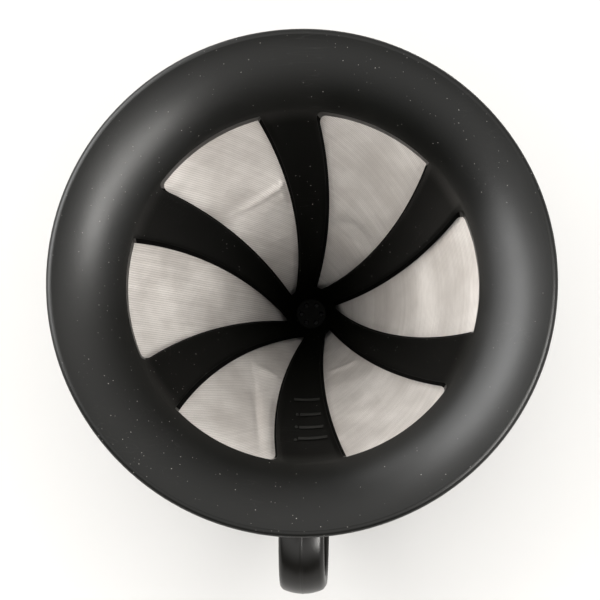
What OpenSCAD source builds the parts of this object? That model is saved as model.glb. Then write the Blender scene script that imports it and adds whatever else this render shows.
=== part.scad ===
// Pour over dripper: a flared mesh filter that drops into an open stand with a saucer and a strap handle.
// Millimetres, +Z up. The origin is on the cone's axis, in the plane that the dripper stands on.
// The handle points along -Y.

/* [Bowl] */
// Outer diameter of the rim
rim_d = 116; // [112:1:122]
// Height of the rim above the standing plane
rim_z = 82; // [81:0.5:86]
// Radius at the crease where the flared bowl meets the cone
crease_r = 41.2; // [40.8:0.1:41.6]
// Slope of the bowl at the crease, in degrees
flare_slope = 52; // [50:1:54]
// Slope of the bowl at the rim, in degrees
rim_slope = 20; // [18:1:22]
// Wall of the flared bowl
bowl_t = 2.4; // [2:0.1:2.6]
// Radius of the rounded lip
lip_r = 1.5; // [1.3:0.1:1.7]

/* [Filter cone] */
// Half angle of the cone, in degrees
cone_half_angle = 30; // [29.5:0.5:30.5]
// Inner radius of the cone at its floor
tip_r = 3.8; // [3.6:0.1:4.4]
// Thickness of the swirl ribs, square to the cone
rib_t = 2.4; // [2:0.1:2.6]
// Thickness of the woven mesh, square to the cone
mesh_t = 0.6; // [0.5:0.1:0.8]
// Extra angle taken off one window, to widen the rib that carries the level marks
mark_rib_extra = 3.7; // [2:0.1:5]
// Height that the level marks stand out of their rib
mark_h = 0.45; // [0.3:0.05:0.8]

/* [Stand] */
// Radial gap between the lifted-out filter and the stand
lift_gap = 0.6; // [0.5:0.1:0.8]
// Thickness of the stand's struts, measured level
strut_t = 3.2; // [2.8:0.1:3.6]
// Outer diameter of the saucer
saucer_d = 92; // [88:1:94]
// Thickness of the saucer plate
saucer_t = 2.4; // [2:0.1:3]
// Height of the cup seat, the saucer's underside
seat_z = 14; // [13:0.5:14]
// Outer diameter of the ring that centres the dripper in a cup
ring_d = 54; // [50:1:58]
// Wall of that ring
ring_t = 2.4; // [2:0.1:3]
// Notches in the foot of that ring
notches = 3; // [2:1:6]

/* [Handle] */
// Reach of the handle from the cone's axis
handle_reach = 71.4; // [68:0.2:74]
// Width of the strap
handle_w = 10.8; // [10:0.2:12.6]
// Thickness of the strap
handle_t = 4; // [3.4:0.1:4.6]
// Radius of the crowned outer face of the strap
handle_crown_r = 11; // [10:0.5:14]

/* [Hidden] */
$fn = 96;
eps = 0.01;

// Cone, measured level rather than square to the wall
taper = tan(cone_half_angle);
rib_level_t = rib_t / cos(cone_half_angle);
mesh_level_t = mesh_t / cos(cone_half_angle);

// Bowl: one arc from the crease to the lip, which it meets smoothly
rim_r = rim_d / 2;
lip_start_r = rim_r - lip_r * (1 + sin(rim_slope));
lip_start_z = rim_z - lip_r * (1 - cos(rim_slope));
flare_curve_r = (lip_start_r - crease_r) / (sin(flare_slope) - sin(rim_slope));
flare_centre = [lip_start_r, lip_start_z] + flare_curve_r * [sin(rim_slope), -cos(rim_slope)];
crease_z = flare_centre[1] + flare_curve_r * cos(flare_slope);
lip_centre = [lip_start_r, lip_start_z] + lip_r * [sin(rim_slope), -cos(rim_slope)];

// Cone floor and cap
tip_z = crease_z - (crease_r - tip_r) / taper;
cap_floor_t = 3.2;
cap_rise = 3;
cap_wall = 1;
drain_hole_r = 0.6;
drain_ring_r = 2.6;
drain_holes = 6;

// Windows: each is the space inside one circle and outside another, between two radii about the axis.
// The two windows beside the level marks are narrower: one by an angle, the other by a circle of its own
windows = 6;
window_inner_r = 6.6;
window_margin = 0.3;
window_outer_r = crease_r - window_margin;
near_circle = [-8.94, 45.65];
near_circle_r = 40.89;
far_circle = [-45.01, 26.17];
far_circle_r = 50.5;
window_corner_r = 1.2;
mark_window = 3;
mark_near_circle = [-23.14, 62.31];
mark_near_circle_r = 61.82;

// Skirt under the bowl, and the stand's collar that it drops into. A lug on the skirt keys it
skirt_inner_r = crease_r + 2;
skirt_t = 2.4;
skirt_outer_r = skirt_inner_r + skirt_t;
skirt_drop = 6;
skirt_z = crease_z - skirt_drop;
lug_w = 6;
lug_h = 1.6;
lug_gap = 0.4;
mesh_lap = 1;
mesh_top_r = crease_r + mesh_lap;
mesh_top_z = crease_z - (rib_level_t - mesh_lap) / taper;
collar_gap = 0.5;
collar_t = 2.3;
collar_inner_r = skirt_outer_r + collar_gap;
collar_outer_r = collar_inner_r + collar_t;
collar_h = 5;
ledge_t = 2.4;
ledge_z = skirt_z - ledge_t;

// Struts and hub of the stand
strut_in = rib_level_t + mesh_level_t + lift_gap;
strut_out = strut_in + strut_t;
hub_r = 18;
hub_bore_r = 14.6;
hub_bottom_z = seat_z - 3;
saucer_top_z = seat_z + saucer_t;
hub_flange_r = hub_r + 2.4;
hub_flange_t = 1.6;
strut_bottom_z = hub_bottom_z + 2.4;
strut_top_z = skirt_z - lug_h - lug_gap;

// Saucer
saucer_r = saucer_d / 2;
saucer_edge_w = 2;
saucer_edge_h = 2.1;
ring_r = ring_d / 2;
notch_w = 9;
notch_h = 4;

// Handle outline, in the plane of the strap
handle_top_z = ledge_z + handle_t + 0.6;
handle_bottom_z = seat_z;
handle_top_bend = 17;
handle_bottom_bend = 24;
handle_root = 40;
handle_split_z = ledge_z - 20;

// Level marks: each bar as [distance from the axis, left end, right end], and each dot's distance from the axis
mark_bars = [[24.9, -2.8, 3.4], [28.8, -1.0, 3.9], [32.2, -1.0, 4.8], [35.0, -1.0, 5.8]];
mark_bar_w = 0.7;
mark_dots = [28.9, 32.3, 35.3];
mark_dot_x = -1.7;
mark_dot_r = 0.35;

frame_colour = [0.12, 0.12, 0.11];
mesh_colour = [0.78, 0.76, 0.73];
gloss_colour = [0.07, 0.07, 0.07];

// Radius of the cone's inner face at height z
function cone_r(z) = tip_r + (z - tip_z) * taper;

// Point on circle (c1, r1) and circle (c2, r2), the one to the right of the line from c1 to c2
function circles_meet(c1, r1, c2, r2) =
  let(gap = norm(c2 - c1), along = (gap * gap + r1 * r1 - r2 * r2) / (2 * gap))
  let(across = sqrt(r1 * r1 - along * along), u = (c2 - c1) / gap)
  c1 + along * u + across * [u[1], -u[0]];

// Rounds the corner between a window's outer arc and its far side: this is what it loses
module corner_cut(outer_r) {
  centre = circles_meet(far_circle, far_circle_r + window_corner_r, [0, 0], outer_r - window_corner_r);
  corner = circles_meet(far_circle, far_circle_r, [0, 0], outer_r);
  on_outer = centre * outer_r / norm(centre);
  on_far = centre + (far_circle - centre) / norm(far_circle - centre) * window_corner_r;
  out = (corner - centre) / norm(corner - centre);
  difference() {
    polygon([centre, on_outer, corner + out, on_far]);
    translate(centre) circle(r = window_corner_r, $fn = 32);
  }
}

// One window seen from above. back_off turns its far side away from the next rib
module window_outline(outer_r, back_off, rounded, near, near_r) {
  difference() {
    intersection() {
      circle(r = outer_r);
      translate(near) circle(r = near_r);
    }
    circle(r = window_inner_r);
    rotate(-back_off) {
      translate(far_circle) circle(r = far_circle_r);
      if (rounded) corner_cut(outer_r);
    }
  }
}

// All windows, with those beside the level marks narrower
module all_windows(outer_r, rounded = true) {
  for (i = [0 : windows - 1])
    rotate(i * 360 / windows)
      if (i == mark_window + 1)
        window_outline(outer_r, 0, rounded, mark_near_circle, mark_near_circle_r);
      else
        window_outline(outer_r, i == mark_window ? mark_rib_extra : 0, rounded, near_circle, near_circle_r);
}

// A conical wall between two level offsets from the cone's inner face
module cone_wall(inner, outer, z0, z1) {
  rotate_extrude()
    polygon([
      [cone_r(z0) + inner, z0],
      [cone_r(z0) + outer, z0],
      [cone_r(z1) + outer, z1],
      [cone_r(z1) + inner, z1]
    ]);
}

// A plain ring
module ring(inner_r, outer_r, z0, z1) {
  translate([0, 0, z0])
    linear_extrude(height = z1 - z0)
      difference() {
        circle(r = outer_r);
        circle(r = inner_r);
      }
}

// Points of an arc, with angles measured from straight up, anticlockwise
function arc(centre, r, a0, a1, steps) =
  [for (i = [0 : steps]) let(a = a0 + (a1 - a0) * i / steps) centre + r * [-sin(a), cos(a)]];

// Section of the flared bowl: the trumpet wall inside, round the lip, and back along its underside
module bowl_section() {
  polygon(concat(
    arc(flare_centre, flare_curve_r, flare_slope, rim_slope, 12),
    arc(lip_centre, lip_r, rim_slope, rim_slope - 180, 10),
    arc(flare_centre, flare_curve_r - bowl_t, rim_slope, flare_slope, 10)
  ));
  translate([skirt_inner_r, skirt_z]) square([skirt_t, skirt_drop + bowl_t / 4]);
}

// One bar seen from above, curved about the axis
module mark_bar(r, left, right) {
  intersection() {
    difference() {
      circle(r = r + mark_bar_w / 2);
      circle(r = r - mark_bar_w / 2);
    }
    translate([left, -2 * r]) square([right - left, 2 * r]);
  }
}

// Raised bars and dots on the widened rib
module level_marks() {
  intersection() {
    translate([0, 0, tip_z])
      linear_extrude(height = crease_z - tip_z)
        union() {
          for (bar = mark_bars)
            mark_bar(bar[0], bar[1], bar[2]);
          for (r = mark_dots)
            translate([mark_dot_x, -r]) circle(r = mark_dot_r, $fn = 24);
        }
    cone_wall(-mark_h, rib_level_t / 2, tip_z + 1, crease_z - 1);
  }
}

module filter_frame() {
  color(frame_colour) {
    rotate_extrude() bowl_section();
    difference() {
      cone_wall(0, rib_level_t, tip_z, crease_z);
      translate([0, 0, tip_z - 1])
        linear_extrude(height = crease_z - tip_z + 2)
          all_windows(window_outer_r);
    }
    level_marks();
    intersection() {
      ring(skirt_inner_r, skirt_outer_r, skirt_z - lug_h, skirt_z + 1);
      translate([-lug_w / 2, 0, 0]) cube([lug_w, rim_r, rim_z]);
    }
  }
}

module filter_mesh() {
  color(mesh_colour)
    cone_wall(rib_level_t, rib_level_t + mesh_level_t, tip_z, mesh_top_z);
}

module tip_cap() {
  mesh_r = tip_r + rib_level_t + mesh_level_t;
  rise_r = mesh_r + cap_rise * taper;
  color(frame_colour)
    difference() {
      rotate_extrude()
        polygon([
          [0, tip_z - cap_floor_t],
          [mesh_r - cap_wall, tip_z - cap_floor_t],
          [mesh_r + cap_wall, tip_z - cap_floor_t + 2 * cap_wall],
          [rise_r + cap_wall, tip_z + cap_rise],
          [rise_r, tip_z + cap_rise],
          [mesh_r, tip_z],
          [0, tip_z]
        ]);
      for (i = [0 : drain_holes - 1])
        rotate(i * 360 / drain_holes)
          translate([drain_ring_r, 0, tip_z - cap_floor_t - 1])
            cylinder(r = drain_hole_r, h = cap_floor_t + 2, $fn = 24);
    }
}

module stand_cage() {
  color(gloss_colour) {
    ring(collar_inner_r, collar_outer_r, ledge_z, skirt_z + collar_h);
    difference() {
      ring(skirt_inner_r - 1, collar_outer_r, ledge_z, skirt_z);
      translate([-lug_w / 2 - lug_gap, 0, skirt_z - lug_h - lug_gap])
        cube([lug_w + 2 * lug_gap, collar_inner_r, rim_z]);
    }
    difference() {
      cone_wall(strut_in, strut_out, strut_bottom_z, strut_top_z);
      translate([0, 0, saucer_top_z + hub_flange_t])
        linear_extrude(height = ledge_z - saucer_top_z - hub_flange_t)
          all_windows(collar_outer_r, false);
    }
    ring(hub_bore_r, hub_r, hub_bottom_z, saucer_top_z + eps);
    ring(hub_bore_r, hub_flange_r, saucer_top_z, saucer_top_z + hub_flange_t);
  }
}

module saucer() {
  color(gloss_colour) {
    ring(hub_r, saucer_r, seat_z, saucer_top_z);
    ring(saucer_r - saucer_edge_w, saucer_r, seat_z, saucer_top_z + saucer_edge_h);
    difference() {
      ring(ring_r - ring_t, ring_r, 0, seat_z + eps);
      for (i = [0 : notches - 1])
        rotate(90 + (i + 0.5) * 360 / notches)
          translate([0, -notch_w / 2, -1])
            cube([ring_r + 1, notch_w, notch_h + 1]);
    }
  }
}

// Area with its two outer corners rounded, open towards the cone
module strap_area(inset) {
  top_bend = handle_top_bend - inset;
  bottom_bend = handle_bottom_bend - inset;
  y0 = -handle_reach + inset;
  z0 = handle_bottom_z + inset;
  z1 = handle_top_z - inset;
  translate([y0 + top_bend, z1 - top_bend]) circle(r = top_bend);
  translate([y0 + bottom_bend, z0 + bottom_bend]) circle(r = bottom_bend);
  translate([y0, z0 + bottom_bend]) square([top_bend, z1 - z0 - top_bend - bottom_bend]);
  translate([y0 + top_bend, z0 + bottom_bend]) square([-handle_root - y0 - top_bend, z1 - z0 - bottom_bend]);
  translate([y0 + bottom_bend, z0]) square([-handle_root - y0 - bottom_bend, bottom_bend + eps]);
}

module handle() {
  crown_y = -handle_reach + handle_crown_r;
  color(gloss_colour)
    difference() {
      intersection() {
        rotate([90, 0, 90])
          linear_extrude(height = handle_w, center = true)
            difference() {
              strap_area(0);
              strap_area(handle_t);
            }
        union() {
          translate([0, crown_y, 0]) cylinder(r = handle_crown_r, h = rim_z);
          translate([-handle_w, crown_y, 0]) cube([2 * handle_w, -crown_y, rim_z]);
        }
      }
      translate([0, 0, handle_split_z]) cylinder(r = collar_outer_r, h = rim_z);
      cylinder(r = saucer_r, h = handle_split_z + eps);
    }
}

filter_frame();
filter_mesh();
tip_cap();
stand_cage();
saucer();
handle();
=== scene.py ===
import math

import bmesh
import bpy
from mathutils import Euler, Matrix, Vector


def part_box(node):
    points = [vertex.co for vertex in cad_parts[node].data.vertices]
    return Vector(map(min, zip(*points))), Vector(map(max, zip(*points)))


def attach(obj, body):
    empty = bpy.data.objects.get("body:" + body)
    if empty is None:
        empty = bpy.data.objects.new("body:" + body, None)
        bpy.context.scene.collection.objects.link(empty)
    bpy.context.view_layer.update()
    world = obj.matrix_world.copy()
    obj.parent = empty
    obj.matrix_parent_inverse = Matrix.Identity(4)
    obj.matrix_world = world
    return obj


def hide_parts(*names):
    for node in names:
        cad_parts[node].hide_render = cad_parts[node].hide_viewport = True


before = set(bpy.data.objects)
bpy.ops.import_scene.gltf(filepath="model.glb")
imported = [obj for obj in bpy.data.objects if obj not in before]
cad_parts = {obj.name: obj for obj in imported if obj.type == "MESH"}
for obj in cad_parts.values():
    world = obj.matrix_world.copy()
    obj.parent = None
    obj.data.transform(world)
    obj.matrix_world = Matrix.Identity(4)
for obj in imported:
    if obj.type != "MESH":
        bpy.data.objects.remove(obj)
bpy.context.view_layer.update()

# Sizes in the pieces' dictionaries are in millimetres and degrees; mm turns them into metres.
# The materials' texture scales and the room's own sizes are in metres.
mm = 0.001
scene = bpy.context.scene
scene.view_settings.view_transform = "Standard"
scene.view_settings.gamma = 0.88    # a little more depth in the blacks


def nodeBox(name):
    low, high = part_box(name)
    return [c / mm for c in low], [c / mm for c in high]


frameLow, frameHigh = nodeBox("filter_frame")
meshTop = nodeBox("filter_mesh")[1][2]
capLow, capHigh = nodeBox("tip_cap")
cageLow, cageHigh = nodeBox("stand_cage")
saucerLow, saucerHigh = nodeBox("saucer")
handleLow, handleHigh = nodeBox("handle")

# The cone that everything follows: inner radius tipRadius at height tipZ, widening by taper
cone = {
    "taper": math.tan(math.radians(30)),
    "tipRadius": 3.8,
    "creaseRadius": 41.2,
    "tipZ": frameLow[2],
    "ribLevel": 2.771,    # rib thickness, measured level
    "meshLevel": 0.693,   # mesh thickness, measured level
}
cone["creaseZ"] = cone["tipZ"] + (cone["creaseRadius"] - cone["tipRadius"]) / cone["taper"]

# The windows, seen from above: inside the near circle, outside the far circle
windows = {
    "count": 6,
    "innerRadius": 6.6,
    "outerMargin": 0.3,   # between the windows' outer arcs and the crease
    "nearCentre": (-8.94, 45.65),
    "nearRadius": 40.89,
    "farCentre": (-45.01, 26.17),
    "farRadius": 50.5,
    "cornerRadius": 1.2,
    # how the windows' sides round over, as (widening, level below the ribs' face)
    "sides": ((1.0, 0.0), (0.9, 0.03), (0.8, 0.13), (0.72, 0.32), (0.36, 1.5), (0.0, 2.771)),
    "roundSteps": 2,      # how many of those steps keep the bowl's own surface
    "glossyTop": 0.5,     # the sides keep it all the way down this close to the outer arc
    "markWindow": 3,      # this one is narrower, for the wide rib with the level marks
    "markExtra": 3.7,
    "markNearCentre": (-23.14, 62.31),     # near circle of the window on the wide rib's other side
    "markNearRadius": 61.82,
}
windowTop = cone["creaseRadius"] - windows["outerMargin"]


def coneZ(radius, level=0.0):
    # height of the conical surface that lies level millimetres outside the cone's inner face
    return cone["tipZ"] + (radius - level - cone["tipRadius"]) / cone["taper"]


def coneRadius(z, level=0.0):
    return cone["tipRadius"] + (z - cone["tipZ"]) * cone["taper"] + level


def circleAngle(centre, circleRadius, radius):
    # angle at which a circle about another centre crosses the given radius about the axis
    away = math.hypot(*centre)
    cosine = (radius * radius + away * away - circleRadius * circleRadius) / (2 * radius * away)
    return math.atan2(centre[1], centre[0]) - math.acos(max(-1.0, min(1.0, cosine)))


def windowSides(index, radius, widen=0.0):
    # the two sides of a window at a radius, as angles; they run straight past the window's ends
    r = min(max(radius, windows["innerRadius"]), cone["creaseRadius"])
    turn = math.tau * index / windows["count"]
    far = circleAngle(windows["farCentre"], windows["farRadius"], r) + turn
    if index % windows["count"] == windows["markWindow"] + 1:
        near = circleAngle(windows["markNearCentre"], windows["markNearRadius"], r) + turn
    else:
        near = circleAngle(windows["nearCentre"], windows["nearRadius"], r) + turn
    if index % windows["count"] == windows["markWindow"]:
        far -= math.radians(windows["markExtra"])
    return near - widen / r, far + widen / r


# Mesh helpers

crispAngle = 35.0      # edges sharper than this are not smoothed over
mostOfSide = 0.49      # two corner rounds share a side, so each takes just under half


def finishMesh(name, bm, material, sharpAngle=crispAngle, recalc=True):
    if recalc:
        bmesh.ops.recalc_face_normals(bm, faces=bm.faces)
    data = bpy.data.meshes.new(name)
    bm.to_mesh(data)
    bm.free()
    for face in data.polygons:
        face.use_smooth = True
    data.set_sharp_from_angle(angle=math.radians(sharpAngle))
    data.materials.append(material)
    piece = bpy.data.objects.new(name, data)
    scene.collection.objects.link(piece)
    return piece


def bake(piece):
    # the evaluated mesh of a piece with modifiers, as a plain piece of the same name
    depsgraph = bpy.context.evaluated_depsgraph_get()
    data = bpy.data.meshes.new_from_object(piece.evaluated_get(depsgraph))
    name = piece.name
    bpy.data.objects.remove(piece)
    data.name = name
    plain = bpy.data.objects.new(name, data)
    scene.collection.objects.link(plain)
    return plain


def rounded(piece, width, angle, steps=3):
    # a plain piece whose edges sharper than the angle are rounded over
    edge = piece.modifiers.new("edgeRound", "BEVEL")
    edge.width = width * mm
    edge.segments = steps
    edge.limit_method = "ANGLE"
    edge.angle_limit = math.radians(angle)
    return bake(piece)


def painted(piece, material):
    # leaves a piece with one material all over
    piece.data.materials.clear()
    piece.data.materials.append(material)
    for face in piece.data.polygons:
        face.material_index = 0
    return piece


def joined(name, parts, material):
    # several plain pieces as one, each still a closed shell
    bm = bmesh.new()
    for part in parts:
        bm.from_mesh(part.data)
    data = bpy.data.meshes.new(name)
    bm.to_mesh(data)
    bm.free()
    for part in parts:
        bpy.data.objects.remove(part)
    piece = bpy.data.objects.new(name, data)
    scene.collection.objects.link(piece)
    return painted(piece, material)


def softened(points, steps=4):
    # rounds the corners of a closed outline; each point is (r, z, corner radius)
    out = []
    count = len(points)
    for i, (r, z, radius) in enumerate(points):
        here = Vector((r, z))
        if radius <= 0:
            out.append((r, z))
            continue
        before = Vector(points[i - 1][:2]) - here
        after = Vector(points[(i + 1) % count][:2]) - here
        half = before.angle(after) / 2
        back = min(radius / math.tan(half), mostOfSide * before.length, mostOfSide * after.length)
        trueRadius = back * math.tan(half)
        inward = (before.normalized() + after.normalized()).normalized()
        centre = here + inward * (trueRadius / math.sin(half))
        start = here + before.normalized() * back - centre
        end = here + after.normalized() * back - centre
        sweep = start.angle_signed(end)
        for k in range(steps + 1):
            turned = start.copy()
            turned.rotate(Matrix.Rotation(-sweep * k / steps, 2))
            out.append(tuple(centre + turned))
    return out


latheSteps = 192


def lathe(name, outline, material, segments=latheSteps, angles=None, shape=None):
    # turns a closed outline of (r, z) about the axis; shape(angle, r, z) may bend it as it goes round
    bm = bmesh.new()
    turns = angles or [math.tau * i / segments for i in range(segments)]
    rings = []
    for r, z in outline:
        if r < 1e-6:
            rings.append([bm.verts.new((0, 0, z * mm))] * len(turns))
            continue
        ring = []
        for a in turns:
            rr, zz = shape(a, r, z) if shape else (r, z)
            ring.append(bm.verts.new((rr * math.cos(a) * mm, rr * math.sin(a) * mm, zz * mm)))
        rings.append(ring)
    for j in range(len(rings)):
        low, high = rings[j], rings[(j + 1) % len(rings)]
        for i in range(len(turns)):
            k = (i + 1) % len(turns)
            corners = []
            for vert in (low[i], low[k], high[k], high[i]):
                if vert not in corners:
                    corners.append(vert)
            if len(corners) > 2:
                bm.faces.new(corners)
    return finishMesh(name, bm, material)


def clustered(low, high, count, towardHigh=0.0):
    # values from low to high, closer together near the high end if that is asked for
    out = []
    for i in range(count + 1):
        t = i / count
        t += towardHigh * t * (1 - t)
        out.append(low + (high - low) * t)
    return out


# Shader groups

def newGroup(name, inputs, outputs):
    group = bpy.data.node_groups.new(name, "ShaderNodeTree")
    for label, kind, value in inputs:
        socket = group.interface.new_socket(name=label, in_out="INPUT", socket_type=kind)
        if value is not None:
            socket.default_value = value
    for label, kind in outputs:
        group.interface.new_socket(name=label, in_out="OUTPUT", socket_type=kind)
    return group, group.nodes.new("NodeGroupInput"), group.nodes.new("NodeGroupOutput")


def wire(tree, value, socket):
    # a socket is linked, anything else is set as the value
    if isinstance(value, bpy.types.NodeSocket):
        tree.links.new(value, socket)
    else:
        socket.default_value = value


def calc(tree, operation, a, b=None, c=None, clamp=False):
    node = tree.nodes.new("ShaderNodeMath")
    node.operation = operation
    node.use_clamp = clamp
    for index, value in enumerate((a, b, c)):
        if value is not None:
            wire(tree, value, node.inputs[index])
    return node.outputs[0]


def ramp(tree, value, low, high, toLow=0.0, toHigh=1.0):
    node = tree.nodes.new("ShaderNodeMapRange")
    node.interpolation_type = "SMOOTHSTEP"
    entries = {"Value": value, "From Min": low, "From Max": high, "To Min": toLow, "To Max": toHigh}
    for label, entry in entries.items():
        wire(tree, entry, node.inputs[label])
    return node.outputs["Result"]


def noise(tree, vector, scale, detail=2.0, roughness=0.5):
    node = tree.nodes.new("ShaderNodeTexNoise")
    for label, entry in (("Vector", vector), ("Scale", scale), ("Detail", detail), ("Roughness", roughness)):
        wire(tree, entry, node.inputs[label])
    return node.outputs["Fac"]


def mixColour(tree, factor, a, b):
    node = tree.nodes.new("ShaderNodeMix")
    node.data_type = "RGBA"
    wire(tree, factor, node.inputs["Factor"])
    wire(tree, a, node.inputs["A"])
    wire(tree, b, node.inputs["B"])
    return node.outputs["Result"]


# What the groups do alike in every material; a range is where a slow noise turns from off to full
groupLook = {
    "sheenRange": (0.3, 0.7),
    "dustPatchScale": 22.0, "dustPatchRange": (0.35, 0.65), "dustLeast": 0.15,
    "speckEdge": 0.03, "speckFaintest": 0.3,
    "rubPatchScale": 70.0, "rubPatchRange": (0.52, 0.7),
}


def makeGrainGroup():
    # the fine spark-eroded grain of a moulding, with slow changes of sheen over it
    group, source, sink = newGroup(
        "mouldedGrain",
        (("Vector", "NodeSocketVector", None), ("Grain Scale", "NodeSocketFloat", 2600.0),
         ("Sheen Scale", "NodeSocketFloat", 38.0)),
        (("Height", "NodeSocketFloat"), ("Sheen", "NodeSocketFloat")),
    )
    fine = noise(group, source.outputs["Vector"], source.outputs["Grain Scale"], 3.0, 0.6)
    slow = noise(group, source.outputs["Vector"], source.outputs["Sheen Scale"], 3.0, 0.55)
    wire(group, fine, sink.inputs["Height"])
    wire(group, ramp(group, slow, *groupLook["sheenRange"]), sink.inputs["Sheen"])
    return group


def makeDustGroup():
    # small pale specks: one in some of the cells, each of its own size
    group, source, sink = newGroup(
        "dustSpecks",
        (("Vector", "NodeSocketVector", None), ("Scale", "NodeSocketFloat", 300.0),
         ("Amount", "NodeSocketFloat", 0.2), ("Size", "NodeSocketFloat", 0.09)),
        (("Mask", "NodeSocketFloat"),),
    )
    cells = group.nodes.new("ShaderNodeTexVoronoi")
    wire(group, source.outputs["Vector"], cells.inputs["Vector"])
    wire(group, source.outputs["Scale"], cells.inputs["Scale"])
    parts = group.nodes.new("ShaderNodeSeparateColor")
    wire(group, cells.outputs["Color"], parts.inputs["Color"])
    drift = noise(group, source.outputs["Vector"], groupLook["dustPatchScale"], 1.0)
    patches = ramp(group, drift, *groupLook["dustPatchRange"], groupLook["dustLeast"], 1.0)
    share = calc(group, "MULTIPLY", patches, source.outputs["Amount"])
    chosen = calc(group, "LESS_THAN", parts.outputs["Red"], share)
    reach = calc(group, "MULTIPLY", parts.outputs["Green"], source.outputs["Size"])
    near = calc(group, "SUBTRACT", reach, cells.outputs["Distance"])
    speck = ramp(group, near, 0.0, groupLook["speckEdge"])
    faintest = groupLook["speckFaintest"]
    fade = calc(group, "MULTIPLY_ADD", parts.outputs["Blue"], 1.0 - faintest, faintest)
    wire(group, calc(group, "MULTIPLY", calc(group, "MULTIPLY", speck, chosen), fade), sink.inputs["Mask"])
    return group


def makeScratchGroup():
    # faint hairline rubs, longer than they are wide
    group, source, sink = newGroup(
        "hairlineRubs",
        (("Vector", "NodeSocketVector", None), ("Scale", "NodeSocketFloat", 60.0),
         ("Stretch", "NodeSocketVector", (1.0, 14.0, 14.0)), ("Width", "NodeSocketFloat", 0.02)),
        (("Mask", "NodeSocketFloat"),),
    )
    stretched = group.nodes.new("ShaderNodeVectorMath")
    stretched.operation = "MULTIPLY"
    wire(group, source.outputs["Vector"], stretched.inputs[0])
    wire(group, source.outputs["Stretch"], stretched.inputs[1])
    field = noise(group, stretched.outputs[0], source.outputs["Scale"], 1.0, 0.4)
    offCentre = calc(group, "ABSOLUTE", calc(group, "SUBTRACT", field, 0.5))
    line = calc(group, "SUBTRACT", 1.0, ramp(group, offCentre, 0.0, source.outputs["Width"]))
    drift = noise(group, source.outputs["Vector"], groupLook["rubPatchScale"], 2.0)
    patches = ramp(group, drift, *groupLook["rubPatchRange"])
    wire(group, calc(group, "MULTIPLY", line, patches), sink.inputs["Mask"])
    return group


grainGroup = makeGrainGroup()
dustGroup = makeDustGroup()
scratchGroup = makeScratchGroup()


def useGroup(tree, group, **values):
    node = tree.nodes.new("ShaderNodeGroup")
    node.node_tree = group
    for label, value in values.items():
        wire(tree, value, node.inputs[label.replace("_", " ")])
    return node.outputs


def newMaterial(name):
    material = bpy.data.materials.new(name)
    material.use_nodes = True
    tree = material.node_tree
    tree.nodes.clear()
    shader = tree.nodes.new("ShaderNodeBsdfPrincipled")
    output = tree.nodes.new("ShaderNodeOutputMaterial")
    tree.links.new(shader.outputs["BSDF"], output.inputs["Surface"])
    coords = tree.nodes.new("ShaderNodeTexCoord")
    return material, tree, shader, coords


def bump(tree, shader, height, strength, distance):
    node = tree.nodes.new("ShaderNodeBump")
    node.inputs["Strength"].default_value = strength
    node.inputs["Distance"].default_value = distance
    wire(tree, height, node.inputs["Height"])
    tree.links.new(node.outputs["Normal"], shader.inputs["Normal"])


# What the plastics share, except where one has a value of its own
plasticBasis = {
    "roughRange": 0.06, "grainScale": 2600.0, "sheenScale": 38.0, "bump": 0.2, "bumpHeight": 0.00005,
    "dustScale": 900.0, "dustColour": (0.12, 0.12, 0.11, 1), "dustRough": 0.3, "dustHeight": 2.0,
    "rubs": 0.0, "rubScale": 45.0, "rubColour": (0.14, 0.14, 0.13, 1),
}


def makePlastic(name, ownLook):
    look = {**plasticBasis, **ownLook}
    material, tree, shader, coords = newMaterial(name)
    place = coords.outputs["Object"]
    grain = useGroup(tree, grainGroup, Vector=place, Grain_Scale=look["grainScale"],
                     Sheen_Scale=look["sheenScale"])
    dust = useGroup(tree, dustGroup, Vector=place, Scale=look["dustScale"], Amount=look["dust"],
                    Size=look["dustSize"])["Mask"]
    rubs = useGroup(tree, scratchGroup, Vector=place, Scale=look["rubScale"])["Mask"]
    rubbed = calc(tree, "MULTIPLY", rubs, look["rubs"])
    body = mixColour(tree, grain["Sheen"], look["dark"], look["light"])
    if "insideRadius" in look:
        # painted shade: inside the crease the plastic is painted blacker and made to shine less, standing in
        # for the shade deep in the cone
        spot = tree.nodes.new("ShaderNodeSeparateXYZ")
        wire(tree, place, spot.inputs["Vector"])
        squares = calc(tree, "MULTIPLY_ADD", spot.outputs["X"], spot.outputs["X"],
                       calc(tree, "MULTIPLY", spot.outputs["Y"], spot.outputs["Y"]))
        radius = calc(tree, "SQRT", squares)
        edge = look["insideRadius"]
        outside = ramp(tree, radius, (edge - look["insideFade"]) * mm, edge * mm)
        body = mixColour(tree, outside, look["insideShadeColour"], body)
        fullShine = shader.inputs["Specular IOR Level"].default_value
        wire(tree, calc(tree, "MULTIPLY_ADD", outside, fullShine - look["insideShadeShine"], look["insideShadeShine"]),
             shader.inputs["Specular IOR Level"])
    worn = mixColour(tree, rubbed, body, look["rubColour"])
    wire(tree, mixColour(tree, dust, worn, look["dustColour"]), shader.inputs["Base Color"])
    rough = calc(tree, "MULTIPLY_ADD", grain["Sheen"], look["roughRange"], look["rough"])
    rough = calc(tree, "ADD", rough, calc(tree, "MULTIPLY", dust, look["dustRough"]), clamp=True)
    wire(tree, rough, shader.inputs["Roughness"])
    shader.inputs["IOR"].default_value = look["ior"]
    height = calc(tree, "MULTIPLY_ADD", dust, look["dustHeight"], grain["Height"])
    bump(tree, shader, height, look["bump"], look["bumpHeight"])
    return material


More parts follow.
